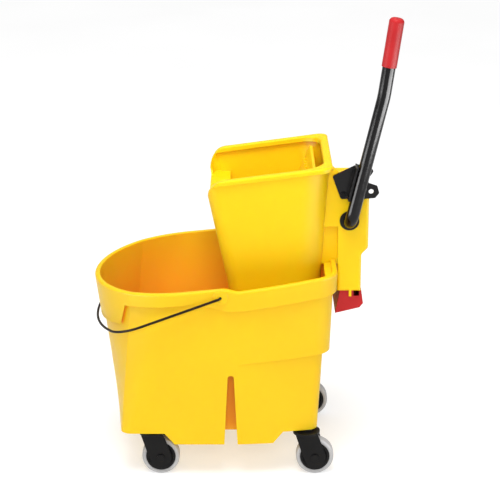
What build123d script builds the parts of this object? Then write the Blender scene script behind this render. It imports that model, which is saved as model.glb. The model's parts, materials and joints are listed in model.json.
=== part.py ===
from build123d import *
import math
import os
from collections import namedtuple

# A mop bucket on four casters, with a side-press wringer that hangs on its rear rim.
# Millimetres. While modelling, x runs back from the nose of the rim, y is 0 on the
# mid-plane with the handle at negative y, and z is 0 on the floor. At the end every
# piece moves along x so that the origin lies under the middle of the whole object.

# Bucket rim and walls
RIM_LENGTH = 485.0
RIM_WIDTH = 406.0
RIM_FRONT_HEIGHT = 383.0
RIM_TILT = 5.5
RIM_STEP_X = 262.0
RIM_STEP_LENGTH = 34.0
RIM_STEP_DROP = 8.5
RIM_ROUND_OUT = 5.0
RIM_ROUND_IN = 3.0
WALL = 4.0
FLOOR = 5.0
LIP = 7.0
LIP_DEPTH_FRONT = 27.0
RIM_JOIN = 14.0
LIP_DEPTH_REAR = 41.0
LIP_DEPTH_NOSE = 84.0
LIP_STEP_X = 197.0
NOSE_BAND_LENGTH = 62.0
NOSE_BAND_DEPTH = 68.0
NOSE_BAND_END = 72.0
NOSE_DRAFT = 8.0
SIDE_DRAFT = 4.0
REAR_DRAFT = 2.0
LOWER_REAR_DRAFT = 3.0
LEDGE_DROP = 165.0
LEDGE_STEP = 14.0
TAPER_LENGTH = 195.0
UPPER_TAPER_RADIUS = 760.0
LOWER_TAPER_RADIUS = 880.0
LOWER_TAPER_KINK = 3.2
REAR_CORNER_RADIUS = 36.0
LOWER_REAR_CORNER_RADIUS = 20.0
NOSE_FRONT_EASE = 4.0
NOSE_CORNER_EASE = 23.0
BASE_FRONT_RADIUS = 2500.0
BASE_CORNER_RADIUS = 15.0
PLAN_ABOVE_RIM = 25.0
DECK_DROP = 5.0
DECK_THICK = 16.0
DECK_GAP = 2.5

# Underside: a low middle on two flats, with raised ends for the casters
PAD_ABOVE_WHEEL = 20.0
PAD_RISE = 24.0
FRONT_PAD_LENGTH = 145.0
REAR_PAD_LENGTH = 104.0
PAD_RAMP = 20.0
GROOVE_X = 277.0
GROOVE_TOP = 222.0
GROOVE_ARCH = 5.0
GROOVE_WIDTH_TOP = 11.5
GROOVE_WIDTH_BASE = 26.0
GROOVE_DEPTH_TOP = 34.0
GROOVE_DEPTH_BASE = 52.0
CHANNEL_DEPTH = 10.0

# Bail
BAIL_X = 258.0
BAIL_BELOW_RIM = 16.5
BAIL_WIRE = 5.0
BAIL_NOSE_ROOM = 5.2
BAIL_FRONT_EASE = 150.0
BAIL_CORNER_RADIUS = 74.0
BAIL_END_BEND = 4.4
BAIL_ANGLE = 20.5
BAIL_SIDE_GAP = 1.6
BAIL_HEAD = 11.0
BAIL_HEAD_LENGTH = 3.0
BAIL_HEAD_GAP = 1.0
BOSS_DIAMETER = 30.0
BOSS_PROUD = 0.8

# Casters
WHEEL_DIAMETER = 75.0
TYRE_WIDTH = 26.0
TYRE_DEPTH = 8.0
TYRE_SHOULDER = 5.0
TYRE_CROWN_DROP = 2.2
TYRE_CROWN_IN = 1.0
HUB_WIDTH = 23.0
HUB_RIM = 5.0
HUB_WEB = 10.0
HUB_BOSS_WALL = 8.0
CASTER_TRAIL = 17.0
FRONT_CASTER_X = 119.0
REAR_CASTER_FROM_REAR = 57.0
CASTER_INSET = 30.0
FORK_PLATE = 54.0
FORK_PLATE_THICK = 5.0
FORK_SHOULDER = 43.0
FORK_LEG = 4.0
FORK_LEG_GAP = 1.5
FORK_EYE = 22.0
AXLE = 8.0
AXLE_HEAD = 15.0
AXLE_HEAD_LENGTH = 3.0
STEM = 11.0
STEM_ABOVE_PAD = 38.0
STEM_END_GAP = 2.0
STEM_HEAD = 20.0
STEM_HEAD_LENGTH = 3.0
SOCKET = 16.5
SOCKET_FLANGE = 26.0
SOCKET_FLANGE_THICK = 3.0
SOCKET_BOSS_WALL = 3.0
SWIVEL_GAP = 1.5

# Wringer hopper. Its x sizes are measured back from the rear of the rim (negative is
# forward) and its z sizes up from the saddle, where it sits in a notch in the rear rim.
SADDLE_NOTCH = 11.5
NOTCH_ROOM = 2.0
HOPPER_WALL = 4.0
HOPPER_REAR = -27.0
HOPPER_REAR_LEAN = 3.0
HOPPER_FRONT = -253.0
HOPPER_FRONT_Z = 154.0
HOPPER_FRONT_LEAN = 11.5
HOPPER_HALF_TOP = 136.0
HOPPER_SIDE_DRAFT = 6.2
HOPPER_FLOOR_Z = -88.0
HOPPER_FRONT_CORNER = 26.0
HOPPER_REAR_CORNER = 54.0
SIDE_TOP_Z = 195.0
SIDE_TOP_TILT = 7.5
SHOULDER_Z = 149.0
SHOULDER_RADIUS = 39.0
SHOULDER_SET_BACK = 1.0
HOPPER_SPARE_TOP = 40.0
FLANGE_OUT = 5.0
FLANGE_IN = 7.0
FLANGE_HEIGHT = 10.0
FLANGE_ROUND_OUT = 4.0
FLANGE_ROUND_IN = 3.0
FLANGE_REAR_CORNER = 18.0
FRONT_LIP_Z = 138.0
FRONT_LIP_LENGTH = 38.0
FRONT_LIP_FALL = 2.0
FRONT_GAP_ROUND = 12.0
DRAIN_SLOTS = 7
DRAIN_SLOT_WIDTH = 6.0
DRAIN_SLOT_LENGTH = 46.0
DRAIN_PITCH = 24.0

# Rear housing of the wringer
HOUSING_HALF = 85.0
HOUSING_FRONT = 3.0
HOUSING_REAR = 63.0
HOUSING_REAR_LOW = 50.0
HOUSING_BOTTOM_Z = -54.0
HOUSING_STEP_Z = 22.0
HOUSING_STEP_RISE = 14.0
HOUSING_BACK_TOP_Z = 143.0
HOUSING_TOP_Z = 155.0
HOUSING_TOP_LENGTH = 48.0
HOUSING_CORNER = 9.0
HOUSING_EDGE = 5.0
WEB_HALF = 75.0
RECESS_TOP_Z = 80.0
HOUSING_WALL = 4.0
WINDOW_HALF = 60.0
WINDOW_BASE_Z = 6.0
WINDOW_TOP_Z = 132.0
STOP_WALL_THICK = 8.0
STOP_WALL_FRONT = -30.0
STOP_WALL_CREST = -12.0
STOP_WALL_REAR = 40.0

# Handle and its cross shaft
TUBE = 25.4
TUBE_WALL = 2.0
SHAFT_X = 25.0
SHAFT_Z = 93.0
TUBE_PLANE = 115.0
TUBE_BEND = 24.0
LOWER_LEAN = 13.1
LOWER_LENGTH = 261.0
UPPER_LEAN = 8.0
UPPER_LENGTH = 147.5
KINK_RADIUS = 220.0
GRIP_WALL = 1.8
GRIP_LENGTH = 94.0
GRIP_CAP = 5.0
GRIP_DOME = 8.0
HANDLE_TRAVEL = 65.0
BUSH_WALL = 2.0
BUSH_FLANGE_WALL = 6.5
BUSH_FLANGE_THICK = 4.0
END_CAP_WALL = 5.3
END_CAP_LENGTH = 9.0
END_CAP_FACE = 4.0
END_CAP_GAP = 0.5

# Crank, push bar and press plate
CRANK_LENGTH = 62.0
CRANK_ANGLE = 8.0
CRANK_Y = 50.0
CRANK_THICK = 8.0
CRANK_EYE_WALL = 8.3
CRANK_TIP = 22.0
CRANK_PIN = 6.0
PUSH_BAR = 12.0
PUSH_BAR_OVERHANG = 4.0
PUSH_SLEEVE = 24.0
PUSH_SLEEVE_LENGTH = 22.0
CAM_Y = 25.0
CAM_THICK = 10.0
CAM_CLEARANCE = 0.4
CAM_ROOT = 66.0
CAM_FOOT = 53.0
CAM_TIP_MARGIN = 16.0
PLATE_HINGE_X = -128.0
PLATE_HINGE_Z = -74.0
PLATE_LEAN = 17.0
PLATE_HEIGHT = 284.0
PLATE_THICK = 6.0
PLATE_SIDE_GAP = 9.0
PLATE_RIBS = 9
PLATE_RIB_WIDTH = 5.0
PLATE_RIB_PROUD = 5.0
PLATE_CORNER = 26.0
KNUCKLE = 18.0
PLATE_FOOT = 4.5
HINGE_PIN = 8.0
PIN_HEAD = 14.0
PIN_HEAD_LENGTH = 3.0
PIN_HEAD_GAP = 0.1

# Return spring
SPRING_WIRE = 3.0
SPRING_ROOM = 0.3
SPRING_TURNS = 3
SPRING_PITCH = 4.0
SPRING_BEND = 4.5
SPRING_SAMPLES = 240

# Stop bracket, its x and z sizes measured like the wringer's
BRACKET_THICK = 4.0
BRACKET_CORNER = 4.0
BRACKET_LIP_OUT = 38.0
BRACKET_LIP_LOW = 139.0
BRACKET_LIP_HIGH = 205.0
STOP_CLEARANCE = 0.3
EAR_HOLE = 10.0
EAR_AT = (66.0, 153.0)
BRACKET_OUTLINE = [
    (-10.0, 184.0), (37.0, 207.0), (62.0, 205.0), (70.0, 194.0), (62.0, 182.0), (60.0, 170.0),
    (78.0, 164.0), (82.0, 150.0), (74.0, 140.0), (53.0, 138.0), (7.0, 138.0),
]
BRACKET_BOLTS = [(12.0, 146.5), (46.0, 146.5)]
BOLT = 6.0
BOLT_HEAD = 11.0
BOLT_HEAD_LENGTH = 4.0

# Red foot under the rear housing, its x sizes measured like the wringer's
FOOT_HALF = 80.0
FOOT_FRONT = 9.0
FOOT_FRONT_LOW = 0.0
FOOT_REAR = 51.5
FOOT_HEEL = 55.5
FOOT_HEEL_DROP = 27.0
FOOT_LOW_DROP = 36.0
FOOT_FRONT_DROP = 48.0
FOOT_HEEL_RADIUS = 7.0
FOOT_WALL = 4.0
FOOT_SCREW_X = 26.0
FOOT_SCREW_Y = 56.0
FOOT_POST = 14.0
FOOT_SCREW = 5.0
FOOT_SCREW_HEAD = 10.0
FOOT_SCREW_HEAD_LENGTH = 3.0
TAB_X = 29.0
TAB_WIDTH = 5.0
TAB_DROP = 11.0
TAB_GAP = 0.5
FOOT_WINDOW = (36.0, 47.0)
FOOT_WINDOW_DROP = 12.0

# Fits
RUNNING = 0.05
SEAT = 0.05
TOUCH = 0.01
ROOM = 1200.0

# Places worked out from the sizes above
RIM_SLOPE = math.tan(math.radians(RIM_TILT))
HALF_RIM = RIM_WIDTH / 2
RIM_REAR_HEIGHT = RIM_FRONT_HEIGHT + RIM_SLOPE * RIM_LENGTH
RIM_STEP_END = RIM_STEP_X + RIM_STEP_LENGTH
RIM_STEP_FOOT = RIM_FRONT_HEIGHT + RIM_SLOPE * RIM_STEP_END - RIM_STEP_DROP
REAR_RIM_SLOPE = (RIM_REAR_HEIGHT - RIM_STEP_FOOT) / (RIM_LENGTH - RIM_STEP_END)
PLAN_TOP = RIM_REAR_HEIGHT + PLAN_ABOVE_RIM
SADDLE_HEIGHT = RIM_REAR_HEIGHT - SADDLE_NOTCH
PAD_HEIGHT = WHEEL_DIAMETER + PAD_ABOVE_WHEEL
BASE_HEIGHT = PAD_HEIGHT - PAD_RISE
WHEEL_RADIUS = WHEEL_DIAMETER / 2
HUB_RADIUS = WHEEL_RADIUS - TYRE_DEPTH
TUBE_RADIUS = TUBE / 2
GRIP_RADIUS = TUBE_RADIUS + GRIP_WALL
CRANK_EYE_RADIUS = TUBE_RADIUS + CRANK_EYE_WALL
SPRING_RADIUS = TUBE_RADIUS + BUSH_WALL + SPRING_ROOM + SPRING_WIRE / 2
DECK_FRONT = RIM_LENGTH + HOPPER_REAR + DECK_GAP
UPWARD = (Align.CENTER, Align.CENTER, Align.MIN)
DOWNWARD = (Align.CENTER, Align.CENTER, Align.MAX)

Plan = namedtuple("Plan", "front half rear nose corner taper_start taper kink rear_corner")


def tan(degrees):
    return math.tan(math.radians(degrees))


def sin(degrees):
    return math.sin(math.radians(degrees))


def cos(degrees):
    return math.cos(math.radians(degrees))


def rim_height(x):
    return RIM_FRONT_HEIGHT + RIM_SLOPE * x


def prism(outline, half_width):
    """Extrudes a closed x, z outline to both sides of the mid-plane."""
    face = make_face(Plane.XZ * outline)
    return extrude(face, amount=half_width, both=True)


def polygon_prism(points, half_width):
    return prism(Polyline(*points, close=True), half_width)


def cross_cylinder(x, z, radius, y_low, y_high):
    """A cylinder along y between two values of y."""
    middle = (y_low + y_high) / 2
    return Pos(x, middle, z) * Rot(90, 0, 0) * Cylinder(radius, y_high - y_low)


def above_tilt(front_height):
    """All the room above a plane that tilts as the rim does."""
    plane = Plane(
        origin=(0, 0, front_height),
        x_dir=(cos(RIM_TILT), 0, sin(RIM_TILT)),
        z_dir=(-sin(RIM_TILT), 0, cos(RIM_TILT)),
    )
    return plane * Box(2 * ROOM, ROOM, ROOM, align=UPWARD)


def under_rim(x, depth):
    """A place below the front half of the rim's line."""
    return (x, rim_height(x) - depth)


def above_line(front_points, rear_depth):
    """All the room above a line along the bucket.

    The line runs through the front points, then bends down to run below the rear rim.
    """
    bend_end = (RIM_STEP_END, RIM_STEP_FOOT - rear_depth)
    far_x = RIM_LENGTH + ROOM / 2
    far_end = (far_x, RIM_REAR_HEIGHT - rear_depth + REAR_RIM_SLOPE * (far_x - RIM_LENGTH))
    near_end = front_points[0]
    edges = [Line(*pair) for pair in zip(front_points, front_points[1:])]
    edges += [
        Spline(front_points[-1], bend_end, tangents=[(1, RIM_SLOPE), (1, REAR_RIM_SLOPE)]),
        Line(bend_end, far_end),
        Line(far_end, (far_x, ROOM)),
        Line((far_x, ROOM), (near_end[0], ROOM)),
        Line((near_end[0], ROOM), near_end),
    ]
    return prism(Wire(edges), ROOM / 2)


def above_rim(depth):
    """All the room above the rim, or above a line at an even depth below it."""
    return above_line([under_rim(-ROOM / 2, depth), under_rim(RIM_STEP_X, depth)], depth)


def edges_on(shape, *solids):
    """The edges of a shape whose middles lie on the surface of each given solid."""
    shells = [solid.shell() for solid in solids]
    found = ShapeList()
    for edge in shape.edges():
        middle = edge.position_at(0.5)
        if all(shell.distance_to(middle) < TOUCH for shell in shells):
            found.append(edge)
    return found


def mirror_pair(shape):
    return [shape, mirror(shape, about=Plane.XZ)]


# Bucket plan outlines, one near the rim and one at the base


def bucket_plan(height, lower):
    """The wall's outside in plan; the lower body is shorter and narrower at the rear."""
    rear_drop = RIM_REAR_HEIGHT - height
    rear = RIM_LENGTH - LIP - rear_drop * tan(REAR_DRAFT)
    taper = UPPER_TAPER_RADIUS
    kink = 0
    corner = REAR_CORNER_RADIUS
    if lower:
        ledge = rim_height(RIM_LENGTH) - LEDGE_DROP
        rear_at_ledge = RIM_LENGTH - LIP - LEDGE_DROP * tan(REAR_DRAFT) - LEDGE_STEP
        rear = rear_at_ledge - (ledge - height) * tan(LOWER_REAR_DRAFT)
        taper = LOWER_TAPER_RADIUS
        kink = LOWER_TAPER_KINK
        corner = LOWER_REAR_CORNER_RADIUS
    side_drop = rim_height(RIM_LENGTH / 2) - height
    half = HALF_RIM - LIP - side_drop * tan(SIDE_DRAFT)
    front = LIP + (RIM_FRONT_HEIGHT - height) * tan(NOSE_DRAFT)
    taper_start = RIM_LENGTH - TAPER_LENGTH
    return Plan(front, half, rear, 0, 0, taper_start, taper, kink, corner)


def plan_wire(plan, height, grow):
    """Nose arc, corner arcs, sides, rear tapers and rear corners, tangent but for the kink."""
    front = plan.front - grow
    half = plan.half + grow
    rear = plan.rear + grow
    nose = plan.nose + grow
    corner = plan.corner + grow
    taper = plan.taper + grow
    rear_corner = plan.rear_corner + grow

    spread = nose - corner
    reach = math.copysign(math.sqrt(spread**2 - (half - corner) ** 2), spread)
    nose_centre = front + nose
    corner_x = nose_centre - reach
    corner_y = half - corner
    nose_end = (nose_centre - nose * reach / spread, nose * corner_y / spread)
    middle = Vector(nose_end[0] - corner_x, nose_end[1] - corner_y).normalized() + Vector(0, 1)
    corner_middle = Vector(corner_x, corner_y) + middle.normalized() * corner

    taper_centre = Vector(plan.taper_start, plan.half) - Vector(sin(plan.kink), cos(plan.kink)) * plan.taper
    side_end = taper_centre.X + math.sqrt(max(taper**2 - (half - taper_centre.Y) ** 2, 0))
    inner = taper - rear_corner
    run = rear - rear_corner - taper_centre.X
    rise = math.sqrt(inner**2 - run**2)
    rear_y = taper_centre.Y + rise
    end_way = Vector(run, rise).normalized()
    taper_end = taper_centre + end_way * taper
    start_way = (Vector(side_end, half) - taper_centre).normalized()
    taper_point = taper_centre + (start_way + end_way).normalized() * taper
    turn = end_way + Vector(1, 0)
    rear_point = Vector(rear - rear_corner, rear_y) + turn.normalized() * rear_corner

    def side(sign):
        return [
            ThreePointArc(
                (nose_end[0], sign * nose_end[1]),
                (corner_middle.X, sign * corner_middle.Y),
                (corner_x, sign * half),
            ),
            Line((corner_x, sign * half), (side_end, sign * half)),
            ThreePointArc(
                (side_end, sign * half),
                (taper_point.X, sign * taper_point.Y),
                (taper_end.X, sign * taper_end.Y),
            ),
            ThreePointArc(
                (taper_end.X, sign * taper_end.Y),
                (rear_point.X, sign * rear_point.Y),
                (rear, sign * rear_y),
            ),
        ]

    nose_arc = ThreePointArc((nose_end[0], -nose_end[1]), (front, 0), nose_end)
    rear_line = Line((rear, rear_y), (rear, -rear_y))
    edges = [nose_arc, *side(1), rear_line, *side(-1)[::-1]]
    return Wire(edges).moved(Pos(0, 0, height))


def tub(grow, lower):
    """A solid tub from the base to above the rim, grown or shrunk all round."""
    base = bucket_plan(BASE_HEIGHT, lower)
    base = base._replace(nose=BASE_FRONT_RADIUS, corner=BASE_CORNER_RADIUS)
    top = bucket_plan(PLAN_TOP, lower)
    top = top._replace(nose=top.half - NOSE_FRONT_EASE, corner=top.half + NOSE_CORNER_EASE)
    return Solid.make_loft(
        [plan_wire(base, BASE_HEIGHT, grow), plan_wire(top, PLAN_TOP, grow)], ruled=True
    )


def underside(lift):
    """The room under the bucket, raised at both ends over the casters."""
    front = FRONT_PAD_LENGTH
    rear = RIM_LENGTH - REAR_PAD_LENGTH
    channel_half = GROOVE_WIDTH_BASE / 2
    low = BASE_HEIGHT + lift
    high = PAD_HEIGHT + lift
    channel = BASE_HEIGHT + CHANNEL_DEPTH + lift
    return polygon_prism(
        [
            (-ROOM / 2, 0), (-ROOM / 2, high), (front, high), (front + PAD_RAMP, low),
            (GROOVE_X - channel_half - lift, low), (GROOVE_X - channel_half - lift, channel),
            (GROOVE_X + channel_half + lift, channel), (GROOVE_X + channel_half + lift, low),
            (rear - PAD_RAMP, low), (rear, high), (ROOM, high), (ROOM, 0),
        ],
        ROOM / 2,
    )


def groove(grow):
    """A tapered upright groove in one side, open at the base, grown by the wall inside."""
    base_half = bucket_plan(BASE_HEIGHT, True).half
    top_half = bucket_plan(GROOVE_TOP, True).half
    outside = ROOM / 4

    def section(height, width, depth_to):
        centre_y = (outside + depth_to) / 2
        face = Rectangle(width + 2 * grow, outside - depth_to)
        return Pos(GROOVE_X, -centre_y, height) * face

    cut = loft(
        [
            section(BASE_HEIGHT - grow, GROOVE_WIDTH_BASE, base_half - GROOVE_DEPTH_BASE - grow),
            section(GROOVE_TOP + grow, GROOVE_WIDTH_TOP, top_half - GROOVE_DEPTH_TOP - grow),
        ],
        ruled=True,
    )
    top = cut.faces().sort_by(Axis.Z)[-1]
    return fillet(top.edges().filter_by(Axis.Y), GROOVE_ARCH + grow)


BAIL_PIVOT_Z = rim_height(BAIL_X) - BAIL_BELOW_RIM
BAIL_ARM_Y = HALF_RIM + BOSS_PROUD + BAIL_SIDE_GAP + BAIL_WIRE / 2
NOSE_SLOPE = tan(NOSE_DRAFT)
NOSE_AT_PIVOT = (RIM_FRONT_HEIGHT - BAIL_PIVOT_Z) * NOSE_SLOPE
BAIL_NOSE_OFFSET = (BAIL_WIRE / 2 + BAIL_NOSE_ROOM) / cos(NOSE_DRAFT)
BAIL_REACH = (BAIL_X - NOSE_AT_PIVOT + BAIL_NOSE_OFFSET) / (cos(BAIL_ANGLE) + sin(BAIL_ANGLE) * NOSE_SLOPE)
BAIL_FRONT_RADIUS = BAIL_ARM_Y + BAIL_FRONT_EASE
CASTER_Y = bucket_plan(PAD_HEIGHT, True).half - CASTER_INSET
CASTER_PLACES = [
    ("front_near", FRONT_CASTER_X, -CASTER_Y),
    ("front_far", FRONT_CASTER_X, CASTER_Y),
    ("rear_near", RIM_LENGTH - REAR_CASTER_FROM_REAR, -CASTER_Y),
    ("rear_far", RIM_LENGTH - REAR_CASTER_FROM_REAR, CASTER_Y),
]
SOCKET_TOP = PAD_HEIGHT + STEM_ABOVE_PAD


def make_rim():
    """The top of the wall and the rolled lip outside it, deepest at the nose, with both top edges rounded."""
    over_rim = above_rim(0)
    outside = tub(LIP, False)
    inside = tub(-WALL, False)
    low_line = [
        under_rim(-ROOM / 2, LIP_DEPTH_NOSE), under_rim(0, LIP_DEPTH_NOSE),
        under_rim(NOSE_BAND_LENGTH, NOSE_BAND_DEPTH), under_rim(NOSE_BAND_END, LIP_DEPTH_FRONT),
        under_rim(LIP_STEP_X, LIP_DEPTH_FRONT),
    ]
    rim = (outside & (above_line(low_line, LIP_DEPTH_REAR) - over_rim)) - inside
    rim = fillet(edges_on(rim, inside, over_rim), RIM_ROUND_IN)
    return fillet(edges_on(rim, outside, over_rim), RIM_ROUND_OUT)


def make_deck():
    """A ledge inside the rear rim, up to the wringer's rear wall."""
    room = above_rim(DECK_DROP + DECK_THICK) - above_rim(DECK_DROP)
    behind = Box(ROOM, ROOM, ROOM, align=(Align.MIN, Align.CENTER, Align.MIN))
    return tub(-WALL / 2, False) & room & Pos(DECK_FRONT, 0, 0) * behind


def make_bucket():
    ledge = above_tilt(RIM_FRONT_HEIGHT - LEDGE_DROP)
    body = (tub(0, True) - ledge) + (tub(0, False) & (ledge - above_rim(RIM_JOIN)))
    for place in (-1, 1):
        outer = place * (HALF_RIM + BOSS_PROUD)
        inner = place * (HALF_RIM - LIP)
        low, high = sorted((outer, inner))
        body += cross_cylinder(BAIL_X, BAIL_PIVOT_Z, BOSS_DIAMETER / 2, low, high)

    inner_ledge = above_tilt(RIM_FRONT_HEIGHT - LEDGE_DROP + WALL)
    inside = (tub(-WALL, True) - inner_ledge) + (tub(-WALL, False) & inner_ledge)
    inside -= underside(FLOOR)
    for name, x, y in CASTER_PLACES:
        boss_height = SOCKET_TOP + SOCKET_BOSS_WALL - PAD_HEIGHT
        boss = Cylinder(SOCKET / 2 + SOCKET_BOSS_WALL, boss_height, align=UPWARD)
        inside -= Pos(x, y, PAD_HEIGHT) * boss
    for side in mirror_pair(groove(WALL)):
        inside -= side

    body -= underside(0)
    for side in mirror_pair(groove(0)):
        body -= side
    body -= inside
    body += make_rim()
    body += make_deck()
    for name, x, y in CASTER_PLACES:
        hole = Cylinder(SOCKET / 2 + SEAT, SOCKET_TOP, align=UPWARD)
        body -= Pos(x, y, 0) * hole
    outside = HALF_RIM + LIP
    body -= cross_cylinder(BAIL_X, BAIL_PIVOT_Z, BAIL_WIRE / 2 + RUNNING, -outside, outside)
    notch_length = 2 * (RIM_LENGTH - DECK_FRONT) + LIP
    notch = Box(notch_length, 2 * (WEB_HALF + NOTCH_ROOM), ROOM, align=UPWARD)
    return body - Pos(RIM_LENGTH, 0, SADDLE_HEIGHT) * notch


# Bail wire: straight arms, round corners and a shallow front arc, all in one plane


def make_bail():
    plane = Plane(
        origin=(BAIL_X, 0, BAIL_PIVOT_Z),
        x_dir=(-cos(BAIL_ANGLE), 0, -sin(BAIL_ANGLE)),
        z_dir=(sin(BAIL_ANGLE), 0, -cos(BAIL_ANGLE)),
    )
    front_centre = BAIL_REACH - BAIL_FRONT_RADIUS
    corner_y = BAIL_ARM_Y - BAIL_CORNER_RADIUS
    apart = BAIL_FRONT_RADIUS - BAIL_CORNER_RADIUS
    corner_x = front_centre + math.sqrt(apart**2 - corner_y**2)
    outward = Vector(corner_x - front_centre, corner_y).normalized()
    meet = Vector(front_centre, 0) + outward * BAIL_FRONT_RADIUS
    half_turn = (outward + Vector(0, 1)).normalized()
    corner_point = Vector(corner_x, corner_y) + half_turn * BAIL_CORNER_RADIUS
    end_y = HALF_RIM - LIP - WALL - tan(SIDE_DRAFT) * LIP - BAIL_HEAD_GAP
    head_y = end_y - BAIL_HEAD_LENGTH
    bend_y = BAIL_ARM_Y - BAIL_END_BEND

    def arm(sign):
        return [
            Line((0, sign * end_y), (0, sign * bend_y)),
            TangentArc((0, sign * bend_y), (BAIL_END_BEND, sign * BAIL_ARM_Y), tangent=(0, sign)),
            Line((BAIL_END_BEND, sign * BAIL_ARM_Y), (corner_x, sign * BAIL_ARM_Y)),
            ThreePointArc(
                (corner_x, sign * BAIL_ARM_Y),
                (corner_point.X, sign * corner_point.Y),
                (meet.X, sign * meet.Y),
            ),
        ]

    front = ThreePointArc((meet.X, meet.Y), (BAIL_REACH, 0), (meet.X, -meet.Y))
    path = plane * Wire([*arm(1), front, *arm(-1)[::-1]])
    start = plane.from_local_coords((0, end_y, 0))
    wire = sweep(Plane(origin=start, z_dir=(0, 1, 0)) * Circle(BAIL_WIRE / 2), path=path)
    for sign in (-1, 1):
        low, high = sorted((sign * head_y, sign * end_y))
        wire += cross_cylinder(BAIL_X, BAIL_PIVOT_Z, BAIL_HEAD / 2, low, high)
    return wire


# Casters


def caster_pieces(x, y):
    axle_x = x + CASTER_TRAIL
    flange_low = PAD_HEIGHT - SOCKET_FLANGE_THICK
    plate_top = flange_low - SWIVEL_GAP
    plate_low = plate_top - FORK_PLATE_THICK
    leg_in = TYRE_WIDTH / 2 + FORK_LEG_GAP
    leg_out = leg_in + FORK_LEG

    socket = Pos(x, y, PAD_HEIGHT) * Cylinder(SOCKET / 2, STEM_ABOVE_PAD, align=UPWARD)
    flange = Cylinder(SOCKET_FLANGE / 2, SOCKET_FLANGE_THICK, align=UPWARD)
    socket += Pos(x, y, flange_low) * flange
    socket -= Pos(x, y, 0) * Cylinder(STEM / 2 + RUNNING, ROOM, align=UPWARD)

    crown = Pos(x, y, plate_low) * Cylinder(FORK_PLATE / 2, FORK_PLATE_THICK, align=UPWARD)
    eye = Pos(axle_x, WHEEL_RADIUS) * Circle(FORK_EYE)
    shoulder = Pos(x, plate_low + FORK_PLATE_THICK / 2) * Rectangle(FORK_SHOULDER, FORK_PLATE_THICK)
    leg_face = make_hull(eye.edges() + shoulder.edges())
    fork = crown
    for sign in (-1, 1):
        leg = extrude(Plane.XZ * leg_face, amount=FORK_LEG / 2, both=True)
        fork += Pos(0, y + sign * (leg_in + FORK_LEG / 2), 0) * leg
    fork -= cross_cylinder(axle_x, WHEEL_RADIUS, AXLE / 2 + SEAT, y - ROOM / 8, y + ROOM / 8)
    fork -= Pos(x, y, plate_low) * Cylinder(STEM / 2 + SEAT, FORK_PLATE_THICK, align=UPWARD)

    stem_length = SOCKET_TOP - STEM_END_GAP - plate_low
    stem = Pos(x, y, plate_low) * Cylinder(STEM_HEAD / 2, STEM_HEAD_LENGTH, align=DOWNWARD)
    stem += Pos(x, y, plate_low) * Cylinder(STEM / 2, stem_length, align=UPWARD)

    axle = cross_cylinder(axle_x, WHEEL_RADIUS, AXLE / 2, y - leg_out, y + leg_out)
    for sign in (-1, 1):
        low, high = sorted((y + sign * leg_out, y + sign * (leg_out + AXLE_HEAD_LENGTH)))
        axle += cross_cylinder(axle_x, WHEEL_RADIUS, AXLE_HEAD / 2, low, high)

    half_hub = HUB_WIDTH / 2
    half_tyre = TYRE_WIDTH / 2
    bore = AXLE / 2 + RUNNING
    boss = AXLE / 2 + HUB_BOSS_WALL
    rim_in = HUB_RADIUS - HUB_RIM
    web = HUB_WEB / 2
    hub_profile = Polyline(
        (bore, -half_tyre), (boss, -half_tyre), (boss, -web), (rim_in, -web), (rim_in, -half_hub),
        (HUB_RADIUS, -half_hub), (HUB_RADIUS, half_hub), (rim_in, half_hub), (rim_in, web), (boss, web),
        (boss, half_tyre), (bore, half_tyre), close=True,
    )
    hub = revolve(make_face(hub_profile), axis=Axis.Y)
    tread = half_tyre - TYRE_SHOULDER
    tyre_in = HUB_RADIUS + SEAT
    round_x = WHEEL_RADIUS - TYRE_CROWN_DROP
    round_y = half_tyre - TYRE_CROWN_IN
    tyre_profile = Wire([
        Line((tyre_in, -half_hub), (tyre_in, half_hub)),
        ThreePointArc((tyre_in, half_hub), (round_x, round_y), (WHEEL_RADIUS, tread)),
        Line((WHEEL_RADIUS, tread), (WHEEL_RADIUS, -tread)),
        ThreePointArc((WHEEL_RADIUS, -tread), (round_x, -round_y), (tyre_in, -half_hub)),
    ])
    tyre = revolve(Face(tyre_profile), axis=Axis.Y)
    place = Pos(axle_x, y, WHEEL_RADIUS)
    return {
        "caster_socket": socket,
        "caster_fork": fork,
        "caster_stem": stem,
        "wheel_axle": axle,
        "wheel_hub": place * hub,
        "wheel_tyre": place * tyre,
    }


# Wringer body


def at_wringer(point):
    """Turns a place measured from the rear rim and the saddle into x, z."""
    return (RIM_LENGTH + point[0], SADDLE_HEIGHT + point[1])


HOPPER_REAR_X, HOPPER_FLOOR = at_wringer((HOPPER_REAR, HOPPER_FLOOR_Z))
FRONT_WALL_X, FRONT_WALL_TOP = at_wringer((HOPPER_FRONT, HOPPER_FRONT_Z))
SHAFT_AT_X, SHAFT_AT_Z = at_wringer((SHAFT_X, SHAFT_Z))
HINGE_AT_X, HINGE_AT_Z = at_wringer((PLATE_HINGE_X, PLATE_HINGE_Z))
FRONT_LIP_TOP = SADDLE_HEIGHT + FRONT_LIP_Z
HOPPER_TOP = SADDLE_HEIGHT + SIDE_TOP_Z + HOPPER_SPARE_TOP
SHOULDER_AT_X = FRONT_WALL_X + SHOULDER_SET_BACK + SHOULDER_RADIUS
SHOULDER_AT_Z = SADDLE_HEIGHT + SHOULDER_Z


def hopper_half(height):
    """Half the hopper's outside width at a height."""
    return HOPPER_HALF_TOP - (SADDLE_HEIGHT + SIDE_TOP_Z - height) * tan(HOPPER_SIDE_DRAFT)


def hopper_front(height):
    return FRONT_WALL_X + (FRONT_WALL_TOP - height) * tan(HOPPER_FRONT_LEAN)


def side_top(x):
    """Height of the side walls' sloping top, which touches the round shoulders."""
    return SHOULDER_AT_Z + SHOULDER_RADIUS / cos(SIDE_TOP_TILT) + (x - SHOULDER_AT_X) * tan(SIDE_TOP_TILT)


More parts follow.
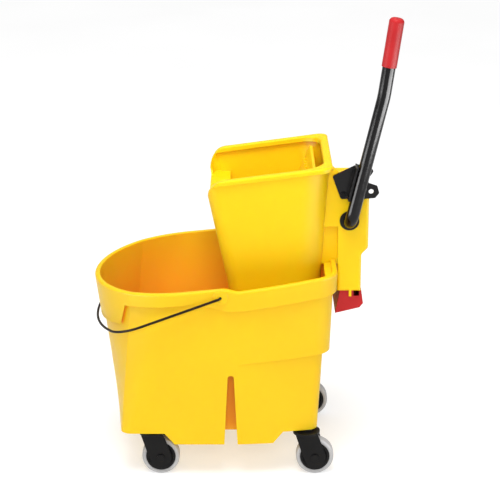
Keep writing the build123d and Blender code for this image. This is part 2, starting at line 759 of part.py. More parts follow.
def hopper_outline(height, grow, rear_corner):
    front = hopper_front(height) - grow
    rear = HOPPER_REAR_X + (height - SADDLE_HEIGHT) * tan(HOPPER_REAR_LEAN) + grow
    half = hopper_half(height) + grow
    face = Pos((front + rear) / 2, 0) * Rectangle(rear - front, 2 * half)
    corners = face.vertices().sort_by(Axis.X)
    face = fillet(corners[:2], HOPPER_FRONT_CORNER + grow)
    corners = face.vertices().sort_by(Axis.X)
    face = fillet(corners[-2:], rear_corner + grow)
    return Pos(0, 0, height) * face


def hopper_block(grow, low, high, rear_corner=HOPPER_REAR_CORNER):
    outlines = [hopper_outline(height, grow, rear_corner) for height in (low, high)]
    return loft(outlines, ruled=True)


def above_side_top(depth):
    """All the room above the sloping top of the side walls, or above a line at a depth below it."""
    near_x = FRONT_WALL_X - ROOM / 8
    far_x = RIM_LENGTH + ROOM / 8
    return polygon_prism(
        [(near_x, side_top(near_x) - depth), (far_x, side_top(far_x) - depth), (far_x, ROOM), (near_x, ROOM)],
        ROOM / 2,
    )


def above_hopper():
    """All the room above the hopper's walls, with a low front and round shoulders."""
    edge_x = SHOULDER_AT_X - SHOULDER_RADIUS
    near_x = edge_x - ROOM / 8
    far_x = RIM_LENGTH + ROOM / 8
    half_way = SHOULDER_RADIUS * math.sqrt(0.5)
    on_arc = (SHOULDER_AT_X - half_way, SHOULDER_AT_Z + half_way)
    arc_end_x = SHOULDER_AT_X - SHOULDER_RADIUS * sin(SIDE_TOP_TILT)
    arc_end = (arc_end_x, side_top(arc_end_x))
    far_end = (far_x, side_top(far_x))
    return prism(
        Wire([
            Line((near_x, FRONT_LIP_TOP), (edge_x, FRONT_LIP_TOP)),
            Line((edge_x, FRONT_LIP_TOP), (edge_x, SHOULDER_AT_Z)),
            ThreePointArc((edge_x, SHOULDER_AT_Z), on_arc, arc_end),
            Line(arc_end, far_end),
            Line(far_end, (far_x, ROOM)),
            Line((far_x, ROOM), (near_x, ROOM)),
            Line((near_x, ROOM), (near_x, FRONT_LIP_TOP)),
        ]),
        ROOM / 2,
    )


def housing_outline(wall):
    """Side outline of the rear housing, drawn in by a wall thickness."""
    top_end = HOUSING_FRONT + HOUSING_TOP_LENGTH
    front = HOPPER_REAR - HOPPER_REAR_CORNER
    points = [
        (front, wall),
        (HOUSING_FRONT + wall, wall),
        (HOUSING_FRONT + wall, HOUSING_BOTTOM_Z + wall),
        (HOUSING_REAR_LOW - wall, HOUSING_BOTTOM_Z + wall),
        (HOUSING_REAR_LOW - wall, HOUSING_STEP_Z),
        (HOUSING_REAR - wall, HOUSING_STEP_Z + HOUSING_STEP_RISE),
        (HOUSING_REAR - wall, HOUSING_BACK_TOP_Z - wall / 2),
        (top_end - wall / 2, HOUSING_TOP_Z - wall),
        (front, HOUSING_TOP_Z - wall),
    ]
    return [at_wringer(point) for point in points]


def housing_recess(wall):
    """The hollow in each flank of the housing, over the bucket's rear rim."""
    high = RECESS_TOP_Z + wall
    low = HOUSING_BOTTOM_Z
    x = HOUSING_FRONT + wall
    depth = HOUSING_HALF - WEB_HALF + wall
    box = Box(ROOM / 8, 2 * depth, high - low, align=(Align.MAX, Align.CENTER, Align.MIN))
    at_x, at_z = at_wringer((x, low))
    return [Pos(at_x, sign * HOUSING_HALF, at_z) * box for sign in (-1, 1)]


def make_housing():
    """The rear housing before it is hollowed, with rounded edges and a recess in each flank."""
    outline = make_face(Polyline(*housing_outline(0), close=True))
    high_corners = outline.vertices().filter_by_position(Axis.Y, SADDLE_HEIGHT + TOUCH, ROOM)
    outline = fillet(high_corners, HOUSING_CORNER)
    housing = extrude(Plane.XZ * outline, amount=HOUSING_HALF, both=True)
    flanks = housing.faces().filter_by(Axis.Y).sort_by(Axis.Y)
    housing = fillet(flanks[0].edges() + flanks[-1].edges(), HOUSING_EDGE)
    for recess in housing_recess(0):
        housing -= recess
    return housing


def make_flange():
    """The rolled flange round the hopper's top, which runs out at the front shoulders."""
    above = above_side_top(0)
    outside = hopper_block(FLANGE_OUT, HOPPER_FLOOR, HOPPER_TOP, FLANGE_REAR_CORNER)
    mouth = hopper_block(-HOPPER_WALL - FLANGE_IN, HOPPER_FLOOR, HOPPER_TOP)
    flange = outside & (above_side_top(FLANGE_HEIGHT) - above)
    flange = fillet(edges_on(flange, outside, above), FLANGE_ROUND_OUT) - mouth
    flange = fillet(edges_on(flange, mouth, above), FLANGE_ROUND_IN)
    return flange - above_hopper()


def make_stop_wall():
    """A wall behind the stop bracket, from the hopper's rear corner down to the housing's top."""
    front_x, low = at_wringer((STOP_WALL_FRONT, HOUSING_TOP_Z - HOUSING_WALL))
    crest_x = RIM_LENGTH + STOP_WALL_CREST
    rear_x, rear_z = at_wringer((STOP_WALL_REAR, HOUSING_TOP_Z))
    points = [
        (front_x, low), (front_x, side_top(front_x) - FLANGE_HEIGHT / 2),
        (crest_x, side_top(crest_x) - FLANGE_HEIGHT), (rear_x, rear_z), (rear_x, low),
    ]
    return Pos(0, STOP_WALL_THICK / 2 - HOUSING_HALF, 0) * polygon_prism(points, STOP_WALL_THICK / 2)


def make_front_lip():
    """A lip that slopes in from the hopper's low front wall."""
    x = hopper_front(FRONT_LIP_TOP) + HOPPER_WALL / 2
    end_x = x + FRONT_LIP_LENGTH
    low = FRONT_LIP_TOP - FRONT_LIP_FALL
    points = [(x, FRONT_LIP_TOP), (end_x, low), (end_x, low - HOPPER_WALL), (x, low - FRONT_LIP_FALL)]
    return polygon_prism(points, HALF_RIM) & hopper_block(-HOPPER_WALL / 2, HOPPER_FLOOR, HOPPER_TOP)


def make_wringer_body():
    block = hopper_block(0, HOPPER_FLOOR, HOPPER_TOP)
    inside = hopper_block(-HOPPER_WALL, HOPPER_FLOOR + HOPPER_WALL, HOPPER_TOP)
    body = block - above_hopper() + make_housing() + make_stop_wall() - inside
    body += make_flange()
    body += make_front_lip()
    front_half = hopper_half(FRONT_LIP_TOP) - HOPPER_FRONT_CORNER
    front_gap = Box(2 * SHOULDER_RADIUS, 2 * front_half, ROOM / 4, align=UPWARD)
    low_edges = front_gap.faces().sort_by(Axis.Z)[0].edges().filter_by(Axis.X)
    body -= Pos(FRONT_WALL_X, 0, FRONT_LIP_TOP) * fillet(low_edges, FRONT_GAP_ROUND)

    cavity = polygon_prism(housing_outline(HOUSING_WALL), HOUSING_HALF - HOUSING_WALL) - block
    for recess in housing_recess(HOUSING_WALL):
        cavity -= recess
    body -= cavity
    window_x, window_low = at_wringer((HOPPER_REAR, WINDOW_BASE_Z))
    window_length = 2 * (HOUSING_FRONT - HOPPER_REAR)
    window = Box(window_length, 2 * WINDOW_HALF, WINDOW_TOP_Z - WINDOW_BASE_Z, align=UPWARD)
    body -= Pos(window_x, 0, window_low) * window

    tab_x, tab_z = at_wringer((TAB_X, HOUSING_BOTTOM_Z - TAB_DROP))
    tab_thick = HOUSING_HALF - FOOT_HALF - TAB_GAP
    for sign in (-1, 1):
        tab = Box(TAB_WIDTH, tab_thick, 2 * TAB_DROP, align=UPWARD)
        body += Pos(tab_x, sign * (HOUSING_HALF - tab_thick / 2), tab_z) * tab

    slot_x = hopper_front(HOPPER_FLOOR) + HOPPER_FRONT_CORNER + DRAIN_SLOT_LENGTH / 2
    for index in range(DRAIN_SLOTS):
        slot_y = (index - (DRAIN_SLOTS - 1) / 2) * DRAIN_PITCH
        slot = extrude(SlotOverall(DRAIN_SLOT_LENGTH, DRAIN_SLOT_WIDTH), amount=ROOM / 8, both=True)
        body -= Pos(slot_x, slot_y, HOPPER_FLOOR) * slot

    for place in BRACKET_BOLTS:
        x, z = at_wringer(place)
        body -= cross_cylinder(x, z, BOLT / 2 + SEAT, -HOUSING_HALF, HOUSING_WALL - HOUSING_HALF)
    x, z = at_wringer((FOOT_SCREW_X, HOUSING_BOTTOM_Z))
    for sign in (-1, 1):
        hole = Cylinder(FOOT_SCREW / 2 + SEAT, HOUSING_WALL, align=UPWARD)
        body -= Pos(x, sign * FOOT_SCREW_Y, z) * hole
    bush_hole = TUBE_RADIUS + BUSH_WALL + RUNNING + SEAT
    body -= cross_cylinder(SHAFT_AT_X, SHAFT_AT_Z, bush_hole, -ROOM / 8, ROOM / 8)
    body -= cross_cylinder(HINGE_AT_X, HINGE_AT_Z, HINGE_PIN / 2 + SEAT, -ROOM / 8, ROOM / 8)
    return body


# Handle, cross shaft and crank


SHAFT = Vector(SHAFT_AT_X, 0, SHAFT_AT_Z)
SHAFT_CORNER = SHAFT + Vector(0, -TUBE_PLANE, 0)
LOWER_WAY = Vector(sin(LOWER_LEAN), 0, cos(LOWER_LEAN))
UPPER_WAY = Vector(sin(UPPER_LEAN), 0, cos(UPPER_LEAN))
KINK = SHAFT_CORNER + LOWER_WAY * LOWER_LENGTH
TUBE_TOP = KINK + UPPER_WAY * UPPER_LENGTH
BUSH_OUT = HOUSING_HALF + BUSH_FLANGE_THICK
CAP_START = BUSH_OUT + END_CAP_GAP
SHAFT_END = CAP_START + END_CAP_LENGTH - END_CAP_FACE
PUSH_X = SHAFT_AT_X - CRANK_LENGTH * sin(CRANK_ANGLE)
PUSH_Z = SHAFT_AT_Z - CRANK_LENGTH * cos(CRANK_ANGLE)


def crank_pin(sign, radius):
    """A pin across the shaft through one crank eye."""
    pin = Rot(0, 90, 0) * Cylinder(radius, 2 * CRANK_EYE_RADIUS)
    return Pos(SHAFT_AT_X, sign * CRANK_Y, SHAFT_AT_Z) * pin


def make_handle_tube():
    far_end = SHAFT + Vector(0, SHAFT_END, 0)
    path = FilletPolyline(TUBE_TOP, KINK, SHAFT_CORNER, far_end, radius=[KINK_RADIUS, TUBE_BEND])
    section = Circle(TUBE_RADIUS) - Circle(TUBE_RADIUS - TUBE_WALL)
    tube = sweep(Plane(origin=TUBE_TOP, z_dir=-UPPER_WAY) * section, path=path)
    for sign in (-1, 1):
        tube -= crank_pin(sign, CRANK_PIN / 2 + SEAT)
    return tube


def make_grip():
    foot = TUBE_TOP + UPPER_WAY * (GRIP_CAP - GRIP_LENGTH)
    plane = Plane(origin=foot, x_dir=(0, 1, 0), z_dir=UPPER_WAY)
    grip = Cylinder(GRIP_RADIUS, GRIP_LENGTH, align=UPWARD)
    grip = fillet(grip.edges().sort_by(Axis.Z)[-1], GRIP_DOME)
    grip -= Cylinder(TUBE_RADIUS + SEAT, GRIP_LENGTH - GRIP_CAP, align=UPWARD)
    return plane * grip


def make_crank_arm(sign):
    eye = Pos(SHAFT_AT_X, SHAFT_AT_Z) * Circle(CRANK_EYE_RADIUS)
    tip = Pos(PUSH_X, PUSH_Z) * Circle(CRANK_TIP / 2)
    face = make_hull(eye.edges() + tip.edges())
    arm = extrude(Plane.XZ * face, amount=CRANK_THICK / 2, both=True)
    arm = Pos(0, sign * CRANK_Y, 0) * arm
    arm -= cross_cylinder(SHAFT_AT_X, SHAFT_AT_Z, TUBE_RADIUS + SEAT, -HALF_RIM, HALF_RIM)
    arm -= cross_cylinder(PUSH_X, PUSH_Z, PUSH_BAR / 2 + SEAT, -HALF_RIM, HALF_RIM)
    return arm - crank_pin(sign, CRANK_PIN / 2 + SEAT)


def make_push_bar():
    half = CRANK_Y + CRANK_THICK / 2 + PUSH_BAR_OVERHANG
    return cross_cylinder(PUSH_X, PUSH_Z, PUSH_BAR / 2, -half, half)


def make_push_sleeves():
    sleeves = []
    for sign in (-1, 1):
        low = sign * CAM_Y - PUSH_SLEEVE_LENGTH / 2
        high = sign * CAM_Y + PUSH_SLEEVE_LENGTH / 2
        sleeve = cross_cylinder(PUSH_X, PUSH_Z, PUSH_SLEEVE / 2, low, high)
        sleeves.append(sleeve - cross_cylinder(PUSH_X, PUSH_Z, PUSH_BAR / 2 + SEAT, low, high))
    return Compound(children=sleeves)


def make_bush(sign):
    inner = HOUSING_HALF - HOUSING_WALL
    low, high = sorted((sign * inner, sign * BUSH_OUT))
    bush = cross_cylinder(SHAFT_AT_X, SHAFT_AT_Z, TUBE_RADIUS + RUNNING + BUSH_WALL, low, high)
    low, high = sorted((sign * HOUSING_HALF, sign * BUSH_OUT))
    bush += cross_cylinder(SHAFT_AT_X, SHAFT_AT_Z, TUBE_RADIUS + BUSH_FLANGE_WALL, low, high)
    return bush - cross_cylinder(SHAFT_AT_X, SHAFT_AT_Z, TUBE_RADIUS + RUNNING, -HALF_RIM, HALF_RIM)


def make_end_cap():
    end = CAP_START + END_CAP_LENGTH
    cap = cross_cylinder(SHAFT_AT_X, SHAFT_AT_Z, TUBE_RADIUS + END_CAP_WALL, CAP_START, end)
    return cap - cross_cylinder(SHAFT_AT_X, SHAFT_AT_Z, TUBE_RADIUS + SEAT, 0, SHAFT_END)


# Press plate: it turns on a pin at its foot and is pushed along two cam ribs


def push_polar(turn):
    """Distance and angle from the plate's pin to the push bar, at a turn of the handle."""
    angle = CRANK_ANGLE + turn
    x = SHAFT_AT_X - CRANK_LENGTH * sin(angle) - HINGE_AT_X
    z = SHAFT_AT_Z - CRANK_LENGTH * cos(angle) - HINGE_AT_Z
    return math.hypot(x, z), math.degrees(math.atan2(x, z))


PLATE_TRAVEL = push_polar(0)[1] - push_polar(HANDLE_TRAVEL)[1]
PLATE_RATIO = PLATE_TRAVEL / HANDLE_TRAVEL
TRAVEL_STEPS = 26
PUSH_STEPS = [HANDLE_TRAVEL * step / TRAVEL_STEPS for step in range(TRAVEL_STEPS + 1)]
CAM_ANGLE = min(push_polar(turn)[1] + PLATE_RATIO * turn for turn in PUSH_STEPS)
CAM_TIP = max(push_polar(turn)[0] for turn in PUSH_STEPS) + CAM_TIP_MARGIN
CAM_OFFSET = PUSH_SLEEVE / 2 + CAM_CLEARANCE


def plate_half(along):
    """Half the plate's width at a distance up from its pin."""
    height = HINGE_AT_Z + along * cos(PLATE_LEAN)
    return hopper_half(height) - HOPPER_WALL - PLATE_SIDE_GAP


def make_press_plate():
    square = (cos(PLATE_LEAN), 0, -sin(PLATE_LEAN))
    plane = Plane(origin=(HINGE_AT_X, 0, HINGE_AT_Z), x_dir=(0, 1, 0), z_dir=square)
    outline = Polyline(
        (-plate_half(PLATE_FOOT), PLATE_FOOT), (plate_half(PLATE_FOOT), PLATE_FOOT),
        (plate_half(PLATE_HEIGHT), PLATE_HEIGHT), (-plate_half(PLATE_HEIGHT), PLATE_HEIGHT), close=True,
    )
    face = make_face(outline)
    face = fillet(face.vertices().sort_by(Axis.Y)[-2:], PLATE_CORNER)
    plate = plane * extrude(face, amount=PLATE_THICK / 2, both=True)

    rib_low = KNUCKLE
    rib_high = PLATE_HEIGHT - PLATE_CORNER
    pitch = 2 * (plate_half(rib_low) - PLATE_RIB_WIDTH) / PLATE_RIBS
    for index in range(PLATE_RIBS):
        rib_y = (index - (PLATE_RIBS - 1) / 2) * pitch
        rib_middle = (rib_low + rib_high) / 2
        rib = Box(PLATE_RIB_WIDTH, rib_high - rib_low, PLATE_RIB_PROUD, align=DOWNWARD)
        plate += plane * Pos(rib_y, rib_middle, -PLATE_THICK / 2) * rib

    out = Vector(sin(CAM_ANGLE), cos(CAM_ANGLE))
    ahead = Vector(-cos(CAM_ANGLE), sin(CAM_ANGLE))
    up = Vector(sin(PLATE_LEAN), cos(PLATE_LEAN))
    hinge = Vector(HINGE_AT_X, HINGE_AT_Z)
    face_low = hinge + out * CAM_ROOT + ahead * CAM_OFFSET
    face_high = hinge + out * CAM_TIP + ahead * CAM_OFFSET
    brow = face_high + ahead * CAM_THICK
    points = [hinge + up * CAM_FOOT, face_low, face_high, brow, hinge + up * CAM_TIP]
    for sign in (-1, 1):
        rib = polygon_prism([(point.X, point.Y) for point in points], CAM_THICK / 2)
        plate += Pos(0, sign * CAM_Y, 0) * rib

    knuckle_end = plate_half(0) - PLATE_SIDE_GAP
    knuckles = [(-knuckle_end, -knuckle_end / 2), (-CAM_Y, CAM_Y), (knuckle_end / 2, knuckle_end)]
    for low, high in knuckles:
        plate += cross_cylinder(HINGE_AT_X, HINGE_AT_Z, KNUCKLE / 2, low, high)
    return plate - cross_cylinder(HINGE_AT_X, HINGE_AT_Z, HINGE_PIN / 2 + RUNNING, -HALF_RIM, HALF_RIM)


def make_hinge_pin():
    half = hopper_half(HINGE_AT_Z + PIN_HEAD / 2) + PIN_HEAD_GAP
    pin = cross_cylinder(HINGE_AT_X, HINGE_AT_Z, HINGE_PIN / 2, -half, half)
    for sign in (-1, 1):
        low, high = sorted((sign * half, sign * (half + PIN_HEAD_LENGTH)))
        pin += cross_cylinder(HINGE_AT_X, HINGE_AT_Z, PIN_HEAD / 2, low, high)
    return pin


# Return spring: a torsion spring round the shaft, from the near wall to the near crank arm


def helix_point(turns, start_y):
    angle = 2 * math.pi * turns
    x = SPRING_RADIUS * math.sin(angle)
    z = SPRING_RADIUS * math.cos(angle)
    return SHAFT + Vector(x, start_y + SPRING_PITCH * turns, z)


def helix_way(turns):
    angle = 2 * math.pi * turns
    round_trip = 2 * math.pi * SPRING_RADIUS
    return Vector(round_trip * math.cos(angle), SPRING_PITCH, -round_trip * math.sin(angle)).normalized()


def biarc(start, start_way, end, end_way):
    """Two arcs that join two points with the given directions."""
    chord = end - start
    a = 2 * (1 - start_way.dot(end_way))
    b = 2 * chord.dot(start_way + end_way)
    c = -chord.dot(chord)
    reach = (-b + math.sqrt(b * b - 4 * a * c)) / (2 * a)
    middle = (start + end + (start_way - end_way) * reach) * 0.5
    first = TangentArc(start, middle, tangent=start_way)
    return [first, TangentArc(middle, end, tangent=first % 1)]


def make_return_spring():
    axial = Vector(0, 1, 0)
    wall_y = -(HOUSING_HALF - HOUSING_WALL)
    arm_y = -(CRANK_Y + CRANK_THICK / 2)
    lead = SPRING_BEND * tan(axial.get_angle(helix_way(0)) / 2)
    bend_length = lead * (1 + helix_way(0).Y)
    straight = (arm_y - wall_y - SPRING_TURNS * SPRING_PITCH) / 2 - bend_length
    coil_y = wall_y + straight + bend_length

    coil_start = helix_point(0, coil_y)
    coil_end = helix_point(SPRING_TURNS, coil_y)
    first_bend = coil_start - (axial + helix_way(0)) * lead
    last_bend = coil_end + (axial + helix_way(SPRING_TURNS)) * lead
    edges = [
        Line(first_bend - axial * straight, first_bend),
        TangentArc(first_bend, coil_start, tangent=axial),
    ]
    quarters = 4 * SPRING_TURNS
    for quarter in range(quarters):
        low = quarter / 4
        high = low + 1 / 4
        start = helix_point(low, coil_y)
        end = helix_point(high, coil_y)
        edges += biarc(start, helix_way(low), end, helix_way(high))
    edges += [
        TangentArc(coil_end, last_bend, tangent=helix_way(SPRING_TURNS)),
        Line(last_bend, last_bend + axial * straight),
    ]
    path = Wire(edges)
    section = Plane(origin=first_bend - axial * straight, z_dir=axial) * Circle(SPRING_WIRE / 2)
    spring = sweep(section, path=path)
    report_gap(path, spring.volume)
    return spring


def report_gap(path, volume):
    """Prints the coil's least gap to itself and its volume against section times length."""
    count = SPRING_SAMPLES
    points = [path.position_at(step / count) for step in range(count + 1)]
    apart = round(math.pi * SPRING_RADIUS / (path.length / count))
    gaps = [
        (points[first] - points[second]).length
        for first in range(count + 1)
        for second in range(first + apart, count + 1)
    ]
    full = path.length * math.pi * SPRING_WIRE**2 / 4
    print("spring least gap", round(min(gaps) - SPRING_WIRE, 2))
    print("spring volume share", round(volume / full, 4))


# Stop bracket, its bolts, and the red foot with its screws


def make_stop_bracket():
    outline = make_face(Polyline(*[at_wringer(point) for point in BRACKET_OUTLINE], close=True))
    outline = fillet(outline.vertices(), BRACKET_CORNER)
    plate = extrude(Plane.XZ * outline, amount=BRACKET_THICK / 2, both=True)
    plate = Pos(0, -HOUSING_HALF - BRACKET_THICK / 2, 0) * plate
    front = TUBE_RADIUS + STOP_CLEARANCE
    across = Vector(cos(LOWER_LEAN), -sin(LOWER_LEAN))
    along = Vector(sin(LOWER_LEAN), cos(LOWER_LEAN))
    shaft = Vector(SHAFT_AT_X, SHAFT_AT_Z)
    low = (BRACKET_LIP_LOW - SHAFT_Z) / cos(LOWER_LEAN)
    high = (BRACKET_LIP_HIGH - SHAFT_Z) / cos(LOWER_LEAN)
    near_edge = shaft - across * front
    far_edge = near_edge - across * BRACKET_THICK
    corners = [
        near_edge + along * low, near_edge + along * high, far_edge + along * high, far_edge + along * low,
    ]
    lip = polygon_prism([(point.X, point.Y) for point in corners], BRACKET_LIP_OUT / 2)
    plate += Pos(0, -HOUSING_HALF - BRACKET_LIP_OUT / 2, 0) * lip
    for place in BRACKET_BOLTS:
        x, z = at_wringer(place)
        plate -= cross_cylinder(x, z, BOLT / 2 + SEAT, -HALF_RIM, 0)
    x, z = at_wringer(EAR_AT)
    return plate - cross_cylinder(x, z, EAR_HOLE / 2, -HALF_RIM, 0)


def make_bracket_bolts():
    bolts = []
    face = -HOUSING_HALF - BRACKET_THICK
    for place in BRACKET_BOLTS:
        x, z = at_wringer(place)
        bolt = cross_cylinder(x, z, BOLT / 2, face, -HOUSING_HALF + HOUSING_WALL)
        bolts.append(bolt + cross_cylinder(x, z, BOLT_HEAD / 2, face - BOLT_HEAD_LENGTH, face))
    return Compound(children=bolts)


def make_rear_foot():
    top = HOUSING_BOTTOM_Z

    def side(wall):
        points = [
            (FOOT_FRONT + wall, top), (FOOT_REAR - wall, top), (FOOT_HEEL - wall, top - FOOT_HEEL_DROP),
            (FOOT_HEEL - FOOT_HEEL_RADIUS - wall, top - FOOT_LOW_DROP + wall),
            (FOOT_FRONT_LOW + wall, top - FOOT_FRONT_DROP + wall),
        ]
        return [at_wringer(point) for point in points]

    foot = polygon_prism(side(0), FOOT_HALF) - polygon_prism(side(FOOT_WALL), FOOT_HALF - FOOT_WALL)
    window_low, window_high = FOOT_WINDOW
    x, z = at_wringer(((window_low + window_high) / 2, top))
    foot -= Pos(x, 0, z) * Box(window_high - window_low, ROOM, 2 * FOOT_WINDOW_DROP)
    x, z = at_wringer((FOOT_SCREW_X, top))
    solid = polygon_prism(side(0), FOOT_HALF)
    for sign in (-1, 1):
        place = Pos(x, sign * FOOT_SCREW_Y, z)
        foot += place * Cylinder(FOOT_POST / 2, FOOT_FRONT_DROP, align=DOWNWARD) & solid
        foot -= place * Cylinder(FOOT_SCREW / 2 + SEAT, FOOT_FRONT_DROP, align=DOWNWARD)
        sink = Cylinder(FOOT_SCREW_HEAD / 2 + SEAT, FOOT_FRONT_DROP, align=DOWNWARD)
        foot -= place * Pos(0, 0, -FOOT_WALL) * sink
    return foot


def make_foot_screws():
    x, z = at_wringer((FOOT_SCREW_X, HOUSING_BOTTOM_Z))
    screw = Cylinder(FOOT_SCREW / 2, FOOT_WALL + HOUSING_WALL, align=UPWARD)
    screw += Cylinder(FOOT_SCREW_HEAD / 2, FOOT_SCREW_HEAD_LENGTH, align=DOWNWARD)
    screws = [Pos(x, sign * FOOT_SCREW_Y, z - FOOT_WALL) * screw for sign in (-1, 1)]
    return Compound(children=screws)


nodes = {}
nodes["bucket_shell"] = make_bucket()
nodes["bail_wire"] = make_bail()
for place, caster_x, caster_y in CASTER_PLACES:
    for piece, shape in caster_pieces(caster_x, caster_y).items():
        nodes[f"{piece}_{place}"] = shape
nodes["wringer_body"] = make_wringer_body()
nodes["press_plate"] = make_press_plate()
nodes["plate_hinge_pin"] = make_hinge_pin()
nodes["handle_tube"] = make_handle_tube()
nodes["handle_grip"] = make_grip()
nodes["shaft_bush_near"] = make_bush(-1)
nodes["shaft_bush_far"] = make_bush(1)
nodes["shaft_end_cap"] = make_end_cap()
nodes["crank_arm_near"] = make_crank_arm(-1)
nodes["crank_arm_far"] = make_crank_arm(1)
nodes["crank_pins"] = Compound(children=[crank_pin(sign, CRANK_PIN / 2) for sign in (-1, 1)])
nodes["push_bar"] = make_push_bar()
nodes["push_sleeves"] = make_push_sleeves()
nodes["return_spring"] = make_return_spring()
nodes["stop_bracket"] = make_stop_bracket()
nodes["bracket_bolts"] = make_bracket_bolts()
nodes["rear_foot"] = make_rear_foot()
nodes["foot_screws"] = make_foot_screws()

# The origin goes under the middle of everything
boxes = [shape.bounding_box() for shape in nodes.values()]
shift = -(min(box.min.X for box in boxes) + max(box.max.X for box in boxes)) / 2
os.makedirs("parts", exist_ok=True)
for name, shape in nodes.items():
    export_step(Pos(shift, 0, 0) * shape, f"parts/{name}.step")

print("shift", round(shift, 3))
print("plate ratio", round(-PLATE_RATIO, 5), "plate travel", round(PLATE_TRAVEL, 3))
print("handle axis", round(SHAFT_AT_X + shift, 3), round(SHAFT_AT_Z, 3))
print("plate axis", round(HINGE_AT_X + shift, 3), round(HINGE_AT_Z, 3))
print("bail axis", round(BAIL_X + shift, 3), round(BAIL_PIVOT_Z, 3))
for place, caster_x, caster_y in CASTER_PLACES:
    print("caster", place, round(caster_x + shift, 3), round(caster_y, 3), "trail", CASTER_TRAIL)
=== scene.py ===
import json
import math

import bmesh
import bpy
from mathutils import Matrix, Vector


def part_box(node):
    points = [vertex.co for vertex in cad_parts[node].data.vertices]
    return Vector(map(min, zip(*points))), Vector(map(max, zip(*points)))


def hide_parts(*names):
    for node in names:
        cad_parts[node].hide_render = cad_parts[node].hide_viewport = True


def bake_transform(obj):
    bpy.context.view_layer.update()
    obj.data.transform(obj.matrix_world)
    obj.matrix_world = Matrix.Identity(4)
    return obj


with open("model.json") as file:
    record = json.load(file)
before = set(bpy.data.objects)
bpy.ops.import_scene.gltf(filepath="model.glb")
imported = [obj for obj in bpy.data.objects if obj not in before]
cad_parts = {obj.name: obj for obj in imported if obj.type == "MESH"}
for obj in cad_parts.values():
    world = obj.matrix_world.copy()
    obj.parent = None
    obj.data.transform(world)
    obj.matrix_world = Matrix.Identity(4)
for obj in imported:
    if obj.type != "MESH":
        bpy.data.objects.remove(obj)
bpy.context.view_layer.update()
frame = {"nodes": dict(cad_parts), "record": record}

# Camera, fitted to the photograph: place in metres, pitch in degrees below level, lens in millimetres
CAMERA_PLACE = (0.0127, -3.2, 1.4654)
CAMERA_PITCH = 18.05
CAMERA_LENS = 119.58
SENSOR = 36.0

# Yellow plastic, whose walls let some light through, with an orange painted shade laid deep in its hollows
YELLOW = dict(
    worn=(0.900, 0.630, 0.050), painted_hollow_shade=(0.860, 0.330, 0.024),
    rough=0.40, rough_spread=0.05, grain=900.0, grain_depth=0.00010, patch=7.0,
    edge=0.0018, wave_depth=0.0012, specular=0.14, light_through=0.3,
)

# Finishes: colours as linear values, grain and patch per metre, edges and depths in metres
FINISHES = {
    "yellow_plastic": dict(
        YELLOW, colour=(0.880, 0.575, 0.004), deep=(0.870, 0.550, 0.004), painted_shade_share=0.12,
    ),
    # The tub: a darker yellow, with the full share of orange painted shade in its hollows
    "yellow_tub": dict(
        YELLOW, colour=(0.780, 0.500, 0.008), deep=(0.770, 0.480, 0.008), painted_shade_share=1.0,
    ),
    "red_plastic": dict(
        colour=(0.445, 0.020, 0.022), deep=(0.390, 0.016, 0.018), worn=(0.520, 0.060, 0.060),
        rough=0.38, rough_spread=0.06, grain=1100.0, grain_depth=0.00010, patch=22.0,
        edge=0.0015, specular=0.12,
    ),
    "black_paint": dict(
        colour=(0.0042, 0.0038, 0.0042), deep=(0.0030, 0.0028, 0.0030), worn=(0.0300, 0.0290, 0.0290),
        rough=0.18, rough_spread=0.04, grain=420.0, grain_depth=0.00002, patch=18.0,
        specular=0.20,
    ),
    # Black wire given a brown tint, a painted reflection of the yellow bucket beside it
    "bail_steel": dict(
        colour=(0.0160, 0.0095, 0.0050), deep=(0.0090, 0.0055, 0.0030), worn=(0.0500, 0.0450, 0.0420),
        rough=0.38, rough_spread=0.10, grain=900.0, grain_depth=0.00006, patch=40.0,
        edge=0.0005, specular=0.12,
    ),
    "black_steel": dict(
        colour=(0.0055, 0.0052, 0.0055), deep=(0.0035, 0.0034, 0.0035), worn=(0.0450, 0.0450, 0.0460),
        rough=0.36, rough_spread=0.08, grain=800.0, grain_depth=0.00006, patch=30.0,
        edge=0.0007, specular=0.14,
    ),
    "plain_steel": dict(
        colour=(0.62, 0.61, 0.59), deep=(0.48, 0.47, 0.46), worn=(0.74, 0.73, 0.71),
        rough=0.28, rough_spread=0.08, grain=1200.0, grain_depth=0.00004, patch=40.0,
        edge=0.0005, metal=1.0,
    ),
    "crank_steel": dict(
        colour=(0.055, 0.055, 0.058), deep=(0.035, 0.035, 0.038), worn=(0.180, 0.180, 0.185),
        rough=0.38, rough_spread=0.08, grain=900.0, grain_depth=0.00006, patch=30.0,
        edge=0.0007, wear=0.6,
    ),
    "spring_steel": dict(
        colour=(0.30, 0.30, 0.31), deep=(0.20, 0.20, 0.21), worn=(0.42, 0.42, 0.43),
        rough=0.30, rough_spread=0.08, grain=900.0, grain_depth=0.00004, patch=60.0,
        edge=0.0004, metal=1.0, stretch=(0.3, 3.0, 0.3),
    ),
    "black_plastic": dict(
        colour=(0.0070, 0.0066, 0.0070), deep=(0.0050, 0.0048, 0.0050), worn=(0.0450, 0.0450, 0.0460),
        rough=0.44, rough_spread=0.07, grain=1100.0, grain_depth=0.00008, patch=30.0,
        edge=0.0008, specular=0.16,
    ),
    "pale_nylon": dict(
        colour=(0.78, 0.76, 0.70), deep=(0.70, 0.67, 0.60), worn=(0.84, 0.82, 0.77),
        rough=0.38, rough_spread=0.06, grain=1100.0, grain_depth=0.00006, patch=30.0,
        edge=0.0008,
    ),
    "grey_rubber": dict(
        colour=(0.42, 0.415, 0.415), deep=(0.36, 0.355, 0.355), worn=(0.50, 0.495, 0.495),
        rough=0.58, rough_spread=0.08, grain=1000.0, grain_depth=0.00010, patch=30.0,
        edge=0.0012, specular=0.3,
    ),
    "floor_paint": dict(
        colour=(0.56, 0.56, 0.56), deep=(0.54, 0.54, 0.54), worn=(0.56, 0.56, 0.56),
        rough=0.75, rough_spread=0.04, grain=60.0, grain_depth=0.0002, patch=1.5,
        specular=0.2, glow=0.50,
    ),
}
